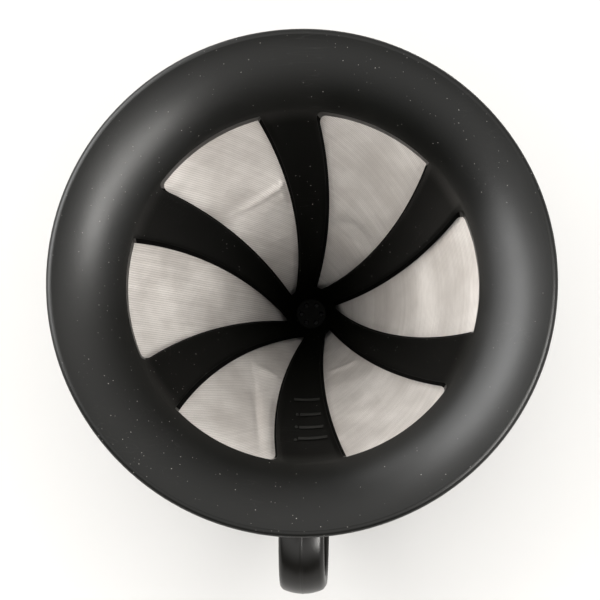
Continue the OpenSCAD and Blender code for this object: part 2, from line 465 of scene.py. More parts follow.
def makeWovenSteel(name, look):
    # the sheet's own UV is in metres, so the wires run straight on the flat sheet and curve with the cone
    material, tree, shader, coords = newMaterial(name)
    parts = tree.nodes.new("ShaderNodeSeparateXYZ")
    wire(tree, coords.outputs["UV"], parts.inputs["Vector"])
    drift = noise(tree, coords.outputs["UV"], look["driftScale"], 2.0)
    along = calc(tree, "MULTIPLY_ADD", drift, look["drift"] * mm, parts.outputs["Y"])
    lines = calc(tree, "MULTIPLY", along, math.pi / (look["pitch"] * mm))
    wefts = calc(tree, "ABSOLUTE", calc(tree, "SINE", lines))
    row = calc(tree, "FLOOR", calc(tree, "DIVIDE", along, look["pitch"] * mm))
    shift = calc(tree, "MULTIPLY", row, math.pi / 2)
    across = calc(tree, "MULTIPLY_ADD", parts.outputs["X"], math.pi / (look["crossPitch"] * mm), shift)
    warps = calc(tree, "ABSOLUTE", calc(tree, "SINE", across))
    threads = calc(tree, "MULTIPLY", wefts, 1.0 - look["crossDepth"])
    weave = calc(tree, "MULTIPLY_ADD", warps, look["crossDepth"], threads)
    tone = noise(tree, coords.outputs["Object"], look["toneScale"], 3.0, 0.6)
    streaks = tree.nodes.new("ShaderNodeVectorMath")
    streaks.operation = "MULTIPLY"
    wire(tree, coords.outputs["UV"], streaks.inputs[0])
    streaks.inputs[1].default_value = look["streakStretch"]
    streak = noise(tree, streaks.outputs[0], 1.0, 2.0, 0.6)
    patches = calc(tree, "MULTIPLY", tone, 1.0 - look["streakShare"])
    cloud = ramp(tree, calc(tree, "MULTIPLY_ADD", streak, look["streakShare"], patches), *look["cloudRange"])
    steel = mixColour(tree, cloud, look["dark"], look["light"])
    gaps = ramp(tree, weave, look["gapFloor"], look["gapWidth"])
    wire(tree, mixColour(tree, gaps, look["gap"], steel), shader.inputs["Base Color"])
    shader.inputs["Metallic"].default_value = look["metallic"]
    rough = calc(tree, "MULTIPLY_ADD", cloud, look["roughRange"], look["rough"])
    wire(tree, rough, shader.inputs["Roughness"])
    bump(tree, shader, weave, look["bump"], look["bumpHeight"])
    return material


bowlPlastic = makePlastic("bowlPlastic", {
    "dark": (0.0024, 0.0026, 0.0018, 1), "light": (0.0044, 0.0044, 0.0034, 1), "rough": 0.31, "ior": 1.34,
    "bump": 0.25, "bumpHeight": 0.00006,
    "dust": 0.6, "dustScale": 1100.0, "dustSize": 0.17, "dustColour": (0.26, 0.25, 0.235, 1),
    "rubs": 0.05, "rubScale": 55.0, "rubColour": (0.2, 0.2, 0.19, 1),
    # painted shade inside the cone: a blacker colour and less shine inside the crease radius
    "insideRadius": cone["creaseRadius"], "insideFade": 2.5, "insideShadeColour": (0.0014, 0.0015, 0.0010, 1),
    "insideShadeShine": 0.2,
})
standPlastic = makePlastic("standPlastic", {
    "dark": (0.006, 0.0055, 0.0045, 1), "light": (0.009, 0.0083, 0.007, 1), "rough": 0.27, "ior": 1.36,
    "roughRange": 0.07, "grainScale": 1400.0, "bump": 0.08,
    "dust": 0.06, "dustScale": 220.0, "dustSize": 0.08, "dustColour": (0.28, 0.27, 0.25, 1),
    "rubs": 0.06,
})
# painted shade: the windows' sides get a darker, duller copy of the bowl's plastic, standing in for the shade
# on those walls
shadedSidePlastic = makePlastic("shadedSidePlastic", {
    "dark": (0.0010, 0.0010, 0.0008, 1), "light": (0.0016, 0.0016, 0.0013, 1), "rough": 0.75, "ior": 1.08,
    "dust": 0.1, "dustSize": 0.1,
})
# painted highlight: the raised marks are coloured lighter than the bowl's plastic they are moulded in,
# standing in for the light their faces catch
litMarkPlastic = makePlastic("litMarkPlastic", {
    "dark": (0.010, 0.0102, 0.009, 1), "light": (0.014, 0.014, 0.0125, 1), "rough": 0.45, "ior": 1.36,
    "dust": 0.5, "dustSize": 0.2,
})
# pitches and drift are in millimetres on the flat sheet
wovenSteel = makeWovenSteel("wovenSteel", {
    "pitch": 0.55, "crossPitch": 0.3, "crossDepth": 0.3, "drift": 0.16, "driftScale": 90.0,
    "dark": (0.54, 0.512, 0.486, 1), "light": (0.74, 0.714, 0.684, 1), "toneScale": 55.0,
    "streakStretch": (20.0, 900.0, 1.0), "streakShare": 0.25, "cloudRange": (0.3, 0.7),
    "gap": (0.29, 0.27, 0.255, 1), "gapFloor": 0.05, "gapWidth": 0.5,
    "metallic": 0.6, "rough": 0.42, "roughRange": 0.08, "bump": 0.3, "bumpHeight": 0.0001,
})
print("materials made")


# The filter's frame: bowl, lip, ribs and hub in one moulding

bowl = {
    "flareSlope": 52.0,     # at the crease
    "wall": 2.4,
    "lipEdgeRadius": frameHigh[0] - 1.5,
    "lipRadius": 1.5,
    "skirtInner": 43.2,
    "skirtWall": 2.4,
    "skirtDrop": 6.0,
    "skirtTop": 1.6,        # the skirt begins this far above the lowest row of the bowl's underside
    "skirtGap": 0.2,        # and the underside stops this far outside it
    "footRadius": 42.2,     # where the ribs' outer face begins under the skirt
    "lipSteps": 9,
    "lipTurn": 23,          # from one step of the lip to the next
    "flareRows": 24,
    "underRows": 20,
    "tipRows": 5,
    "windowRows": 40,
    "rowBunching": 0.55,    # the rows lie closer together towards the windows' outer arcs
    "windowColumns": 26,
    "columnBunching": 0.5,  # and the columns towards their far sides
    "ribColumns": 10,
    "crispAngle": 30.0,
}


def flarePoints(offset, steps):
    # the trumpet curve from the crease to the lip, or its underside at an offset
    rise = frameHigh[2] - cone["creaseZ"]
    run = bowl["lipEdgeRadius"] - cone["creaseRadius"]
    start = math.radians(bowl["flareSlope"])
    end = 2 * math.atan2(rise, run) - start
    curve = run / (math.sin(start) - math.sin(end))
    centre = (cone["creaseRadius"] + curve * math.sin(start), cone["creaseZ"] - curve * math.cos(start))
    out = []
    for i in range(steps + 1):
        a = start + (end - start) * i / steps
        reach = curve - offset
        out.append((centre[0] - reach * math.sin(a), centre[1] + reach * math.cos(a)))
    return out


def frameOutline():
    # the section of the moulding as rows of (r, z), with the rows that the windows pass through
    windowRadii = clustered(windows["innerRadius"], windowTop, bowl["windowRows"], bowl["rowBunching"])
    tipRadii = clustered(cone["tipRadius"], windows["innerRadius"], bowl["tipRows"])
    rows = [(r, coneZ(r)) for r in tipRadii[:-1]]
    innerStart = len(rows)
    rows += [(r, coneZ(r)) for r in windowRadii]
    innerEnd = len(rows) - 1
    rows += flarePoints(0.0, bowl["flareRows"])
    lip = bowl["lipRadius"]
    for i in range(1, bowl["lipSteps"] + 1):
        a = math.radians(90 - bowl["lipTurn"] * i)
        rows.append((bowl["lipEdgeRadius"] + lip * math.cos(a), frameHigh[2] - lip + lip * math.sin(a)))
    under = flarePoints(bowl["wall"], bowl["underRows"])[::-1]
    skirtOuter = bowl["skirtInner"] + bowl["skirtWall"]
    skirtZ = cone["creaseZ"] - bowl["skirtDrop"]
    outside = [p for p in under if p[0] > skirtOuter + bowl["skirtGap"]]
    rows += outside[1:]
    rows.append((skirtOuter, under[-1][1] + bowl["skirtTop"]))
    rows += [(skirtOuter, skirtZ), (bowl["skirtInner"], skirtZ)]
    level = cone["ribLevel"]
    rows += [(r, coneZ(r, level)) for r in (bowl["skirtInner"], bowl["footRadius"])]
    outerStart = len(rows)
    rows += [(r, coneZ(r, level)) for r in windowRadii[::-1]]
    outerEnd = len(rows) - 1
    rows.append((cone["tipRadius"] + level, cone["tipZ"]))
    return rows, (innerStart, innerEnd), (outerStart, outerEnd)


def roundedCorner(index, x, y, widen):
    # moves a point on a window's edge onto the round of its far outer corner
    radius = windows["cornerRadius"]
    turn = math.tau * index / windows["count"]
    if index % windows["count"] == windows["markWindow"]:
        turn -= math.radians(windows["markExtra"])
    reach = windows["farRadius"] - widen + radius
    a = circleAngle(windows["farCentre"], reach, windowTop - radius) + turn
    centre = Vector((math.cos(a), math.sin(a))) * (windowTop - radius)
    farCentre = Vector(windows["farCentre"])
    farCentre.rotate(Matrix.Rotation(turn, 2))
    toOuter = centre.normalized()
    toFar = (farCentre - centre).normalized()
    away = Vector((x, y)) - centre
    middle = (toOuter + toFar).normalized()
    if away.length <= radius or away.normalized().dot(middle) < toOuter.dot(middle):
        return x, y
    moved = centre + away.normalized() * radius
    return moved.x, moved.y


def windowPoint(bm, index, t, radius, widen, level):
    # a corner of the grid in or on the edge of a window, t going from its near side to its far side
    near, far = windowSides(index, radius, widen)
    a = near + (far - near) * t
    x, y = roundedCorner(index, radius * math.cos(a), radius * math.sin(a), widen)
    return bm.verts.new((x * mm, y * mm, coneZ(math.hypot(x, y), level) * mm))


def makeFrame():
    rows, inner, outer = frameOutline()
    wide = windows["sides"][0][0]
    across = clustered(0, 1, bowl["windowColumns"], bowl["columnBunching"])
    ribs = clustered(0, 1, bowl["ribColumns"])
    columns = []   # (sector, is it in a window, place between the two sides)
    for k in range(windows["count"]):
        columns += [(k, True, t) for t in across] + [(k, False, t) for t in ribs[1:-1]]
    bm = bmesh.new()
    grid = []
    for j, (r, z) in enumerate(rows):
        onOutside = j >= outer[0]
        widen = 0.0 if onOutside else wide
        level = cone["ribLevel"] if onOutside else 0.0
        inWindowRows = inner[0] <= j <= inner[1] or outer[0] <= j <= outer[1]
        ring = []
        for k, isWindow, t in columns:
            if isWindow and inWindowRows:
                ring.append(windowPoint(bm, k, t, r, widen, level))
                continue
            near, far = windowSides(k, r, widen)
            following = windowSides(k + 1, r, widen)[0]
            a = near + (far - near) * t if isWindow else far + (following - far) * t
            ring.append(bm.verts.new((r * math.cos(a) * mm, r * math.sin(a) * mm, z * mm)))
        grid.append(ring)
    count = len(columns)

    def quad(*corners, surface=0):
        unique = list(dict.fromkeys(corners))
        if len(unique) > 2:
            bm.faces.new(unique).material_index = surface

    def pierced(j, i):
        rowIn = inner[0] <= j < inner[1] or outer[0] <= j < outer[1]
        return rowIn and columns[i][1] and columns[i][2] < 1

    for j in range(len(rows)):
        nextRow = (j + 1) % len(rows)
        for i in range(count):
            if not pierced(j, i):
                nextColumn = (i + 1) % count
                quad(grid[j][i], grid[j][nextColumn], grid[nextRow][nextColumn], grid[nextRow][i])

    # the sides of the windows: a loop round each window at every step of their rounding
    for k in range(windows["count"]):
        first = next(i for i, c in enumerate(columns) if c[0] == k)
        last = bowl["windowColumns"]
        edge = [(i, inner[1]) for i in range(last)] + [(last, j) for j in range(inner[1], inner[0], -1)]
        edge += [(i, inner[0]) for i in range(last, 0, -1)] + [(0, j) for j in range(inner[0], inner[1])]
        loops = [[grid[j][first + i] for i, j in edge]]
        for widen, level in windows["sides"][1:-1]:
            loops.append([windowPoint(bm, k, across[i], rows[j][0], widen, level) for i, j in edge])
        loops.append([grid[outer[1] - (j - inner[0])][first + i] for i, j in edge])
        radii = [rows[j][0] for i, j in edge]
        for step, (upper, lower) in enumerate(zip(loops, loops[1:])):
            for n in range(len(edge)):
                m = (n + 1) % len(edge)
                # below the rounding, away from the outer arc, the sides take the painted-shade plastic
                below = step >= windows["roundSteps"]
                shadedWall = below and min(radii[n], radii[m]) < windowTop - windows["glossyTop"]
                quad(upper[n], upper[m], lower[m], lower[n], surface=int(shadedWall))
    piece = finishMesh("filterFrame", bm, bowlPlastic, bowl["crispAngle"])
    piece.data.materials.append(shadedSidePlastic)
    return piece


filterFrame = makeFrame()
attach(filterFrame, "filter")
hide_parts("filter_frame")
print("filter frame made")


# The mesh: one sheet rolled into a cone, dented between the ribs

sheet = {
    "rows": 84,
    "columns": 480,
    "wall": 0.45,
    "clearance": 0.02,     # between the sheet and the ribs' outer face
    "puff": 0.08,          # how far the free mesh bellies in between the ribs
    "ripple": 0.10,
    "rippleWaves": ((5, 0.35), (2, 0.23)),     # waves round the cone, and radians per millimetre outwards
    "creaseShape": 1.5,    # 2 is as round as a bell, 1 comes to an edge
    "edgeFade": 1.8,       # the dents fade out over this distance from a window's edge
    "outwardLimit": -0.15,
    "crispAngle": 60.0,
    # dents: x, y, direction of the crease, half length, half width, depth (positive is inwards), bend
    "dents": (
        (-8.0, 27.3, 32, 8.0, 0.5, 0.6, 0.0),
        (-8.2, 24.8, 36, 5.5, 2.4, 0.55, 0.0),
        (-7.6, 17.0, 20, 3.0, 0.7, 0.14, 0.0),
        (10.9, 18.4, -28, 5.5, 1.4, -0.8, 0.03),
        (13.0, 32.0, -40, 7.0, 5.0, -0.4, 0.0),
        (-12.3, -26.0, -79, 9.0, 0.6, -0.6, 0.0),
        (-9.6, -26.5, -82, 8.0, 2.2, 0.4, 0.0),
        (-10.6, -17.6, -27, 3.2, 0.9, 0.5, 0.0),
        (-15.5, -20.0, 35, 3.0, 1.6, -0.3, 0.0),
        (8.4, -16.4, 21, 4.5, 0.55, 0.45, -0.03),
        (19.6, -22.0, -51, 9.0, 3.2, -0.65, 0.0),
        (15.5, -31.0, 30, 4.0, 2.6, -0.2, 0.0),
        (-27.0, 3.0, 80, 8.0, 5.0, -0.3, 0.0),
        (27.0, 1.0, 70, 8.0, 5.0, 0.3, 0.0),
    ),
}


def windowPlace(x, y):
    # how far inside a window a point lies: 0 on the ribs, 1 well inside it
    r = math.hypot(x, y)
    a = math.atan2(y, x)
    best = 0.0
    for k in range(windows["count"]):
        near, far = windowSides(k, r)
        middle = (near + far) / 2
        off = (a - middle + math.pi) % math.tau - math.pi
        side = (far - near) / 2 - abs(off)
        if side > 0:
            gap = min(side * r, cone["creaseRadius"] - r, r - windows["innerRadius"])
            best = max(best, max(0.0, min(1.0, gap / sheet["edgeFade"])))
    return best * best * (3 - 2 * best)


def dentDepth(x, y):
    depth = 0.0
    for centreX, centreY, turn, halfLength, halfWidth, amount, bend in sheet["dents"]:
        dx, dy = x - centreX, y - centreY
        t = math.radians(turn)
        along = dx * math.cos(t) + dy * math.sin(t)
        across = dy * math.cos(t) - dx * math.sin(t) + bend * along * along
        aside = abs(across / halfWidth) ** sheet["creaseShape"]
        depth += amount * math.exp(-(along / halfLength) ** 2 - aside)
    a = math.atan2(y, x)
    r = math.hypot(x, y)
    waves = [math.sin(around * a + outward * r) for around, outward in sheet["rippleWaves"]]
    return depth + sheet["ripple"] * waves[0] * waves[1]


def makeMesh():
    bm = bmesh.new()
    uv = bm.loops.layers.uv.new("sheet")
    slant = math.sqrt(1 + 1 / cone["taper"] ** 2)
    level = cone["ribLevel"] + sheet["clearance"]
    low = cone["tipRadius"] + cone["ribLevel"]
    high = coneRadius(meshTop, cone["ribLevel"])
    sine = 1 / slant
    radii = clustered(low, high, sheet["rows"])
    rings = []
    for r in radii:
        ring = []
        for i in range(sheet["columns"]):
            a = -math.pi / 2 + math.tau * i / sheet["columns"]
            x, y = r * math.cos(a), r * math.sin(a)
            inside = windowPlace(x, y)
            depth = inside * (sheet["puff"] + dentDepth(x, y)) if inside > 0 else 0.0
            depth = max(depth, sheet["outwardLimit"])
            rr = r - depth * math.sqrt(1 - sine * sine)
            z = coneZ(r, level) + depth * sine
            ring.append(bm.verts.new((rr * math.cos(a) * mm, rr * math.sin(a) * mm, z * mm)))
        rings.append(ring)
    columns = sheet["columns"]

    def flat(j, i):
        # where a point lies on the flat sheet; its lap is behind the wide rib
        psi = (math.tau * i / columns - 1.5 * math.pi) * sine
        s = radii[j] * slant * mm
        return s * math.cos(psi), s * math.sin(psi)

    for j in range(len(radii) - 1):
        for i in range(columns):
            k = (i + 1) % columns
            face = bm.faces.new((rings[j][i], rings[j][k], rings[j + 1][k], rings[j + 1][i]))
            for loop, spot in zip(face.loops, ((j, i), (j, i + 1), (j + 1, i + 1), (j + 1, i))):
                loop[uv].uv = flat(*spot)
    piece = finishMesh("wovenMesh", bm, wovenSteel, sheet["crispAngle"], recalc=False)
    wall = piece.modifiers.new("wall", "SOLIDIFY")
    wall.thickness = sheet["wall"] * mm
    wall.offset = -1
    return bake(piece)


wovenMesh = makeMesh()
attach(wovenMesh, "filter")
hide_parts("filter_mesh")
print("mesh made")


# Geometry node helpers

def newTree(name, inputs):
    tree = bpy.data.node_groups.new(name, "GeometryNodeTree")
    tree.is_modifier = True
    tree.interface.new_socket(name="Geometry", in_out="INPUT", socket_type="NodeSocketGeometry")
    for label, kind, value in inputs:
        socket = tree.interface.new_socket(name=label, in_out="INPUT", socket_type=kind)
        if value is not None:
            socket.default_value = value
    tree.interface.new_socket(name="Geometry", in_out="OUTPUT", socket_type="NodeSocketGeometry")
    return tree, tree.nodes.new("NodeGroupInput").outputs, tree.nodes.new("NodeGroupOutput").inputs


def addNode(tree, kind, **values):
    node = tree.nodes.new(kind)
    for label, value in values.items():
        wire(tree, value, node.inputs[label.replace("_", " ")])
    return node


def closeTree(tree, geometry, material, sink):
    real = addNode(tree, "GeometryNodeRealizeInstances", Geometry=geometry)
    covered = addNode(tree, "GeometryNodeSetMaterial", Geometry=real.outputs["Geometry"], Material=material)
    wire(tree, covered.outputs["Geometry"], sink["Geometry"])


def grow(name, tree, settings):
    # runs a tree on an empty mesh and returns the plain result
    holder = bpy.data.objects.new(name, bpy.data.meshes.new(name))
    scene.collection.objects.link(holder)
    modifier = holder.modifiers.new("grow", "NODES")
    modifier.node_group = tree
    for item in tree.interface.items_tree:
        if item.item_type == "SOCKET" and item.in_out == "INPUT" and item.name in settings:
            modifier[item.identifier] = settings[item.name]
    piece = bake(holder)
    for face in piece.data.polygons:
        face.use_smooth = True
    piece.data.set_sharp_from_angle(angle=math.radians(crispAngle))
    return painted(piece, settings["Material"])


def repeatAround(tree, geometry, count):
    points = addNode(tree, "GeometryNodeMeshLine", Count=count, Offset=(0.0, 0.0, 0.0))
    index = tree.nodes.new("GeometryNodeInputIndex").outputs["Index"]
    step = calc(tree, "DIVIDE", math.tau, count)
    turn = addNode(tree, "ShaderNodeCombineXYZ", Z=calc(tree, "MULTIPLY", index, step))
    placed = addNode(tree, "GeometryNodeInstanceOnPoints", Points=points.outputs["Mesh"], Instance=geometry,
                     Rotation=turn.outputs["Vector"])
    return placed.outputs["Instances"]


def treeCircleAngle(tree, centre, circleRadius, radius):
    # the same sum as circleAngle, in nodes
    away = math.hypot(*centre)
    squared = calc(tree, "MULTIPLY_ADD", radius, radius, away * away - circleRadius * circleRadius)
    cosine = calc(tree, "DIVIDE", squared, calc(tree, "MULTIPLY", radius, 2 * away))
    return calc(tree, "SUBTRACT", math.atan2(centre[1], centre[0]), calc(tree, "ARCCOSINE", cosine))


def makeStrutTree():
    # a block whose three sides run across, up and through the wall, bent onto the cone and repeated
    tree, source, sink = newTree("swirlStruts", (
        ("Count", "NodeSocketInt", 6), ("Low Z", "NodeSocketFloat", 16.0),
        ("High Z", "NodeSocketFloat", 63.0), ("Inner", "NodeSocketFloat", 3.8),
        ("Outer", "NodeSocketFloat", 7.0), ("Material", "NodeSocketMaterial", None)))
    block = addNode(tree, "GeometryNodeMeshCube", Size=(1.0, 1.0, 1.0), Vertices_X=9, Vertices_Y=4,
                    Vertices_Z=60)
    spot = tree.nodes.new("ShaderNodeSeparateXYZ")
    wire(tree, tree.nodes.new("GeometryNodeInputPosition").outputs["Position"], spot.inputs["Vector"])
    u = calc(tree, "ADD", spot.outputs["X"], 0.5)
    w = calc(tree, "ADD", spot.outputs["Y"], 0.5)
    v = calc(tree, "ADD", spot.outputs["Z"], 0.5)
    tall = calc(tree, "SUBTRACT", source["High Z"], source["Low Z"])
    thick = calc(tree, "SUBTRACT", source["Outer"], source["Inner"])
    z = calc(tree, "MULTIPLY_ADD", v, tall, source["Low Z"])
    level = calc(tree, "MULTIPLY_ADD", w, thick, source["Inner"])
    rise = calc(tree, "SUBTRACT", z, cone["tipZ"])
    inner = calc(tree, "MULTIPLY_ADD", rise, cone["taper"], cone["tipRadius"])
    radius = calc(tree, "ADD", inner, level)
    held = calc(tree, "MINIMUM", radius, cone["creaseRadius"])
    far = treeCircleAngle(tree, windows["farCentre"], windows["farRadius"], held)
    near = treeCircleAngle(tree, windows["nearCentre"], windows["nearRadius"], held)
    following = calc(tree, "ADD", near, math.tau / windows["count"])
    angle = calc(tree, "MULTIPLY_ADD", u, calc(tree, "SUBTRACT", following, far), far)
    size = calc(tree, "MULTIPLY", radius, mm)
    bent = addNode(tree, "ShaderNodeCombineXYZ", X=calc(tree, "MULTIPLY", size, calc(tree, "COSINE", angle)),
                   Y=calc(tree, "MULTIPLY", size, calc(tree, "SINE", angle)), Z=calc(tree, "MULTIPLY", z, mm))
    shaped = addNode(tree, "GeometryNodeSetPosition", Geometry=block.outputs["Mesh"],
                     Position=bent.outputs["Vector"])
    around = repeatAround(tree, shaped.outputs["Geometry"], source["Count"])
    closeTree(tree, around, source["Material"], sink)
    return tree


# The stand: collar, struts and hub

cage = {
    "collarInner": 46.1, "ledgeInner": 42.2, "ledge": 2.4, "collarDrop": 7.4,
    "strutInner": 4.08, "strutOuter": 7.24,     # the struts' two faces, measured level from the cone
    "strutFoot": 1.2, "strutHead": 0.4,         # how far the struts run into the hub and the collar
    "round": 0.5, "roundAngle": 40,             # along the struts' edges, where they are sharper than this
    "hubBore": 14.6, "hubRadius": 18.0, "flange": 20.4, "flangeTop": 18.0, "saucerTop": 16.4,
}


def makeCage():
    outer, top, bottom = cageHigh[0], cageHigh[2], cageLow[2]
    ledgeZ = top - cage["collarDrop"]
    seat = ledgeZ + cage["ledge"]
    # every point of an outline is (radius, height, corner radius)
    collar = lathe("collar", softened([
        (cage["ledgeInner"], ledgeZ, 0.4), (outer, ledgeZ, 0.7), (outer, top, 0.9),
        (cage["collarInner"], top, 0.6), (cage["collarInner"], seat, 0.3), (cage["ledgeInner"], seat, 0.3)]),
        standPlastic)
    hub = lathe("hub", softened([
        (cage["hubBore"], bottom, 0.3), (cage["hubRadius"], bottom, 0.3),
        (cage["hubRadius"], cage["saucerTop"], 0), (cage["flange"], cage["saucerTop"], 0.2),
        (cage["flange"], cage["flangeTop"], 0.6), (cage["hubBore"], cage["flangeTop"], 0.3)]), standPlastic)
    struts = grow("struts", makeStrutTree(), {
        "Count": windows["count"], "Low Z": cage["flangeTop"] - cage["strutFoot"],
        "High Z": ledgeZ + cage["strutHead"], "Inner": cage["strutInner"], "Outer": cage["strutOuter"],
        "Material": standPlastic})
    struts = rounded(struts, cage["round"], cage["roundAngle"])
    return joined("standCage", (collar, hub, struts), standPlastic)


standCage = makeCage()
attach(standCage, "stand")
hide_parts("stand_cage")
print("stand made")


# The saucer, with the notched ring under it

saucer = {
    "bore": 18.0, "plate": 2.4, "seatZ": 14.0, "ringRadius": 27.0, "ringWall": 2.4,
    "edgeWidth": 2.0, "edgeSlope": 0.6, "fillet": 1.2,      # the raised edge, and where it meets the plate
    "underInset": 0.6, "underRise": 0.8,                    # the slant under the edge
    "notches": 3, "notchWidth": 9.0, "notchHeight": 4.0, "notchReach": 0.1,     # reach past the ring
    "wallStep": 0.12,                                       # degrees, to either side of a notch's wall
}


def makeSaucer():
    outer, top, bottom = saucerHigh[0], saucerHigh[2], saucerLow[2]
    plateTop = saucer["seatZ"] + saucer["plate"]
    inside = saucer["ringRadius"] - saucer["ringWall"]
    edgeInner = outer - saucer["edgeWidth"]
    outline = softened([
        (saucer["bore"], saucer["seatZ"], 0), (inside, saucer["seatZ"], 0.6), (inside, bottom, 0.5),
        (saucer["ringRadius"], bottom, 0.5), (saucer["ringRadius"], saucer["seatZ"], 0),
        (outer - saucer["underInset"], saucer["seatZ"], 0.5),
        (outer, saucer["seatZ"] + saucer["underRise"], 0.6), (outer, top, 0.8),
        (edgeInner, top, 0.8), (edgeInner - saucer["edgeSlope"], plateTop, saucer["fillet"]),
        (saucer["bore"], plateTop, 0)], 5)
    half = math.degrees(math.asin(saucer["notchWidth"] / 2 / saucer["ringRadius"]))
    centres = [90 + (i + 0.5) * 360 / saucer["notches"] for i in range(saucer["notches"])]
    angles = {round(i * 360 / latheSteps, 4) for i in range(latheSteps)}
    for c in centres:
        for side in (-1, 1):
            for step in (-saucer["wallStep"], saucer["wallStep"]):
                angles.add(round((c + side * half + step) % 360, 4))

    def lift(a, r, z):
        # raises the foot of the ring where a notch is
        if z > saucer["notchHeight"] or r > saucer["ringRadius"] + saucer["notchReach"]:
            return r, z
        degrees = math.degrees(a)
        inNotch = any(abs((degrees - c + 180) % 360 - 180) < half for c in centres)
        return r, z + saucer["notchHeight"] if inNotch else z

    turns = [math.radians(a) for a in sorted(angles)]
    return lathe("saucerPlate", outline, standPlastic, angles=turns, shape=lift)


saucerPlate = makeSaucer()
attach(saucerPlate, "stand")
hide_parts("saucer")
print("saucer made")


# The cap at the cone's tip, with its drain holes

cap = {
    "rise": 3.0, "wall": 1.0, "segments": 96,
    "gap": 0.02,           # between the cap and the mesh it closes
    "holes": 6, "holeRing": 2.6, "holeRadius": 0.6, "drillDepth": 12, "sides": 20,
}


def makeHoleTree():
    tree, source, sink = newTree("drainHoles", (
        ("Count", "NodeSocketInt", 6), ("Ring Radius", "NodeSocketFloat", 0.0034),
        ("Hole Radius", "NodeSocketFloat", 0.0006), ("Depth", "NodeSocketFloat", 0.01),
        ("Height", "NodeSocketFloat", 0.0), ("Material", "NodeSocketMaterial", None)))
    rod = addNode(tree, "GeometryNodeMeshCylinder", Vertices=cap["sides"], Radius=source["Hole Radius"],
                  Depth=source["Depth"])
    spot = addNode(tree, "ShaderNodeCombineXYZ", X=source["Ring Radius"], Z=source["Height"])
    moved = addNode(tree, "GeometryNodeTransform", Geometry=rod.outputs["Mesh"],
                    Translation=spot.outputs["Vector"])
    around = repeatAround(tree, moved.outputs["Geometry"], source["Count"])
    closeTree(tree, around, source["Material"], sink)
    return tree


def makeCap():
    meshRadius = cone["tipRadius"] + cone["ribLevel"] + cone["meshLevel"]
    top, bottom, floor = capHigh[2], capLow[2], cone["tipZ"]
    rim = meshRadius + cap["rise"] * cone["taper"]
    outline = softened([
        (meshRadius - cap["wall"], bottom, 0.6), (meshRadius + cap["wall"], bottom + 2 * cap["wall"], 1.0),
        (rim + cap["wall"], top, 0.35), (rim + cap["gap"], top, 0.2), (meshRadius + cap["gap"], floor, 0),
        (0, floor, 0), (0, bottom, 0)])
    solid = lathe("tipCap", outline, bowlPlastic, segments=cap["segments"])
    rods = grow("rods", makeHoleTree(), {
        "Count": cap["holes"], "Ring Radius": cap["holeRing"] * mm, "Hole Radius": cap["holeRadius"] * mm,
        "Depth": cap["drillDepth"] * mm, "Height": cone["tipZ"] * mm, "Material": bowlPlastic})
    drill = solid.modifiers.new("drill", "BOOLEAN")
    drill.object = rods
    drill.solver = "EXACT"
    plain = bake(solid)
    bpy.data.objects.remove(rods)
    plain.data.set_sharp_from_angle(angle=math.radians(crispAngle))
    return painted(plain, bowlPlastic)


tipCap = makeCap()
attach(tipCap, "filter")
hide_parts("tip_cap")
print("cap made")


# The handle: a strap with a crowned outer face and a parting line

strap = {
    "thickness": 4.0, "crownRadius": 11.5, "corner": 1.7, "insideCorner": 0.9,
    "topBend": 17.0, "bottomBend": 24.0,
    "topWidth": 0.96,      # share of the full width at the collar
    "sunk": 0.7,           # how far either end runs into the piece that it meets
    "partingWidth": 0.34, "partingHeight": 0.1, "partingShoulder": 0.7,     # share of the height half way out
    "crispAngle": 50.0, "bendSteps": 22, "straightSteps": 8, "crownSteps": 12, "cornerSteps": 6,
}


def strapPath():
    # the middle of the strap from the collar to the saucer, as (y, z, direction outward)
    half = strap["thickness"] / 2
    y0, z0, z1 = handleLow[1] + half, handleLow[2] + half, handleHigh[2] - half
    topBend, bottomBend = strap["topBend"] - half, strap["bottomBend"] - half
    startY, endY = -cageHigh[0] + strap["sunk"], -saucerHigh[0] + strap["sunk"]
    points = []
    for i in range(strap["straightSteps"]):
        t = i / strap["straightSteps"]
        points.append((startY + (y0 + topBend - startY) * t, z1, math.pi / 2))
    for i in range(strap["bendSteps"] + 1):
        a = math.pi / 2 + math.pi / 2 * i / strap["bendSteps"]
        points.append((y0 + topBend + topBend * math.cos(a), z1 - topBend + topBend * math.sin(a), a))
    for i in range(1, strap["bendSteps"] + 1):
        a = math.pi + math.pi / 2 * i / strap["bendSteps"]
        y, z = y0 + bottomBend + bottomBend * math.cos(a), z0 + bottomBend + bottomBend * math.sin(a)
        points.append((y, z, a))
    for i in range(1, strap["straightSteps"] + 1):
        t = i / strap["straightSteps"]
        points.append((y0 + bottomBend + (endY - y0 - bottomBend) * t, z0, 3 * math.pi / 2))
    return points


def strapSection():
    # (across, outward) in millimetres, round the strap's section: crowned outside and flat inside
    half = strap["thickness"] / 2
    halfWidth = handleHigh[0]
    crownRadius, corner = strap["crownRadius"], strap["corner"]
    crownCentre = half - crownRadius
    cornerX = halfWidth - corner
    cornerZ = crownCentre + math.sqrt((crownRadius - corner) ** 2 - cornerX ** 2)
    tangent = math.atan2(cornerZ - crownCentre, cornerX)
    right = []
    crownSteps, cornerSteps = strap["crownSteps"], strap["cornerSteps"]
    for i in range(1, crownSteps + 1):
        a = math.pi / 2 + (tangent - math.pi / 2) * i / crownSteps
        right.append((crownRadius * math.cos(a), crownCentre + crownRadius * math.sin(a)))
    for i in range(1, cornerSteps + 1):
        a = tangent * (1 - i / cornerSteps)
        right.append((cornerX + corner * math.cos(a), cornerZ + corner * math.sin(a)))
    inside = strap["insideCorner"]
    for i in range(cornerSteps + 1):
        a = -math.pi / 2 * i / cornerSteps
        right.append((halfWidth - inside + inside * math.cos(a), -half + inside + inside * math.sin(a)))
    w, h = strap["partingWidth"] / 2, strap["partingHeight"]
    shoulder = half + h * strap["partingShoulder"]
    middle = [(-2 * w, half), (-w, shoulder), (0, half + h), (w, shoulder), (2 * w, half)]
    left = [(-x, z) for x, z in right[::-1]]
    return left + middle + right


